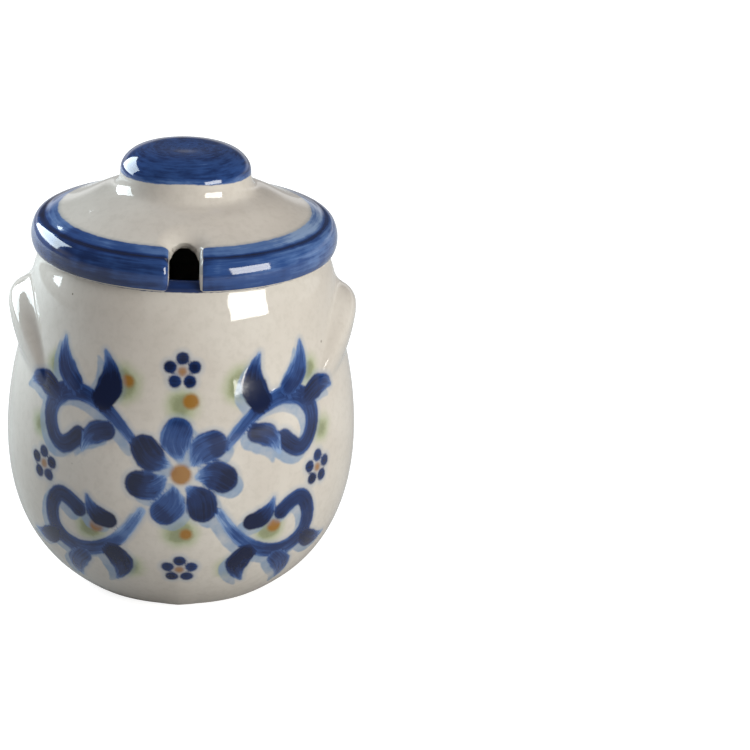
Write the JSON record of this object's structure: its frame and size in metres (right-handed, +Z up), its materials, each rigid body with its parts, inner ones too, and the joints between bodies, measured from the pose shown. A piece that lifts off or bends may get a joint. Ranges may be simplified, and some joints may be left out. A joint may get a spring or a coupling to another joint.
{
  "type": "honey pot",
  "caption": "Round-bellied glazed stoneware honey pot with two side lugs and a lift-off lid that has a knob and a spoon notch.",
  "frame": {"origin": "middle of the flat that the foot ring rests on", "axes": "+Z up along the jar's axis, +X to the right-hand lug, -Y to the lid's spoon notch"},
  "size_m": [0.1198, 0.1198, 0.1522],
  "materials": {
    "cream_glaze": "glossy cream glaze with fine iron specks",
    "cobalt_glaze": "glossy brushed cobalt blue under clear glaze"
  },
  "bodies": {
    "jar": {"jar_body": "cream_glaze", "lug_right": "cream_glaze", "lug_left": "cream_glaze"},
    "lid": {"lid_shell": "cream_glaze", "lid_knob": "cobalt_glaze"}
  },
  "joints": [
    {"name": "lid_lift", "type": "slide", "parent": "jar", "child": "lid", "axis": [0, 0, 1], "range_m": [0, 0.06]}
  ]
}
